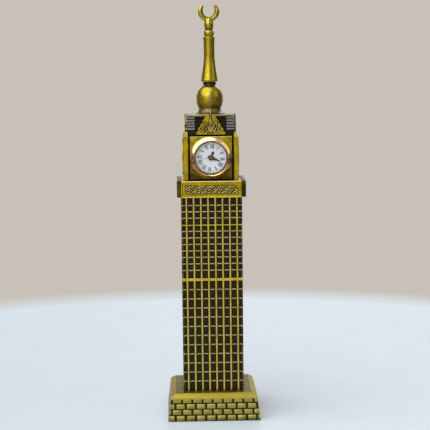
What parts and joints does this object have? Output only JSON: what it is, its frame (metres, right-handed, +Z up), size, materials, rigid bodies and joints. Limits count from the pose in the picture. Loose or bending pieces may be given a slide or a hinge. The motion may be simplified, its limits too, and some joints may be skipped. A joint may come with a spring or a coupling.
{
  "type": "souvenir clock tower",
  "caption": "Die-cast clock tower souvenir on a brick plinth, with a tall window-grid shaft, a small quartz clock insert, a ribbed onion dome, a turned spire and a crescent.",
  "frame": {"origin": "centre of the felt pad's underside, on the surface that the tower stands on", "axes": "+Z up along the tower, +X to the right of the clock face; the clock face looks along -Y"},
  "size_m": [0.0594, 0.0594, 0.2657],
  "materials": {
    "antique_brass": "antique patina, dark recesses and polished edges",
    "polished_gold": "mirror polished plating",
    "plated_steel": "zinc plated",
    "felt": "pressed felt",
    "crystal": "clear mineral glass",
    "dial_enamel": "white printed dial",
    "hand_lacquer": "black lacquer",
    "rubber_ring": "moulded rubber",
    "moulded_plastic": "moulded",
    "copper_winding": "enamelled copper wire",
    "circuit_board": "solder mask"
  },
  "bodies": {
    "tower": {"felt_pad": "felt", "base_plinth": "antique_brass", "base_plate": "plated_steel", "rod_washer": "plated_steel", "rod_nut": "plated_steel", "tie_rod": "plated_steel", "shaft_panel_front": "antique_brass", "shaft_panel_right": "antique_brass", "shaft_panel_back": "antique_brass", "shaft_panel_left": "antique_brass", "collar_body": "antique_brass", "collar_plaque_front": "antique_brass", "collar_plaque_right": "antique_brass", "collar_plaque_back": "antique_brass", "collar_plaque_left": "antique_brass", "pilaster_front_right": "antique_brass", "pilaster_back_right": "antique_brass", "pilaster_back_left": "antique_brass", "pilaster_front_left": "antique_brass", "clock_panel_front": "antique_brass", "clock_panel_right": "antique_brass", "clock_panel_back": "antique_brass", "clock_panel_left": "antique_brass", "belfry_block": "antique_brass", "roof_slab": "antique_brass", "crest_front": "antique_brass", "crest_right": "antique_brass", "crest_back": "antique_brass", "crest_left": "antique_brass", "onion_dome": "antique_brass", "spire_cone": "antique_brass", "ring_bead": "antique_brass", "vase_bead": "antique_brass", "finial_stud": "plated_steel", "crescent": "antique_brass"},
    "clock_insert": {"bezel": "polished_gold", "lens": "crystal", "dial_ring": "polished_gold", "dial": "dial_enamel", "insert_case": "moulded_plastic", "friction_ring": "rubber_ring", "main_plate": "plated_steel", "button_cell": "plated_steel", "coil": "copper_winding", "stator": "plated_steel", "circuit_board": "circuit_board"},
    "case_back": {"case_back": "plated_steel"},
    "hour": {"hour_hand": "hand_lacquer", "hour_wheel": "plated_steel"},
    "minute": {"minute_hand": "hand_lacquer", "cannon_pinion": "plated_steel"},
    "second": {"second_hand": "hand_lacquer", "seconds_wheel": "plated_steel"},
    "minute_wheel": {"minute_wheel": "plated_steel"},
    "step_wheel": {"step_wheel": "plated_steel"},
    "rotor": {"rotor": "plated_steel"},
    "stem": {"setting_stem": "plated_steel"},
    "crown": {"setting_crown": "plated_steel"}
  },
  "joints": [
    {"name": "insert_slide", "type": "slide", "parent": "tower", "child": "clock_insert", "axis": [0, -1, 0], "range_m": [0, 0.03]},
    {"name": "case_back_slide", "type": "slide", "parent": "clock_insert", "child": "case_back", "axis": [0, 1, 0], "range_m": [0, 0.006]},
    {"name": "stem_pull", "type": "slide", "parent": "clock_insert", "child": "stem", "axis": [1, 0, 0], "range_m": [0, 0.0006]},
    {"name": "crown_turn", "type": "hinge", "parent": "stem", "child": "crown", "pos_m": [0.0108, -0.0114, 0.1685], "axis": [1, 0, 0], "continuous": true},
    {"name": "minute_turn", "type": "hinge", "parent": "clock_insert", "child": "minute", "pos_m": [0, -0.0154, 0.1685], "axis": [0, 1, 0], "continuous": true},
    {"name": "hour_turn", "type": "hinge", "parent": "clock_insert", "child": "hour", "pos_m": [0, -0.01585, 0.1685], "axis": [0, 1, 0], "continuous": true},
    {"name": "minute_wheel_turn", "type": "hinge", "parent": "clock_insert", "child": "minute_wheel", "pos_m": [-0.00283, -0.01535, 0.16567], "axis": [0, 1, 0], "continuous": true},
    {"name": "second_turn", "type": "hinge", "parent": "clock_insert", "child": "second", "pos_m": [0, -0.0134, 0.1685], "axis": [0, 1, 0], "continuous": true},
    {"name": "step_turn", "type": "hinge", "parent": "clock_insert", "child": "step_wheel", "pos_m": [0.0021, -0.0129, 0.16486], "axis": [0, 1, 0], "continuous": true},
    {"name": "rotor_turn", "type": "hinge", "parent": "clock_insert", "child": "rotor", "pos_m": [0.00476, -0.0128, 0.16439], "axis": [0, 1, 0], "continuous": true}
  ],
  "couplings": [
    {"joint": "minute_wheel_turn", "follows": "minute_turn", "ratio": -0.33333},
    {"joint": "hour_turn", "follows": "minute_turn", "ratio": 0.083333},
    {"joint": "step_turn", "follows": "second_turn", "ratio": -6},
    {"joint": "rotor_turn", "follows": "second_turn", "ratio": 30}
  ]
}
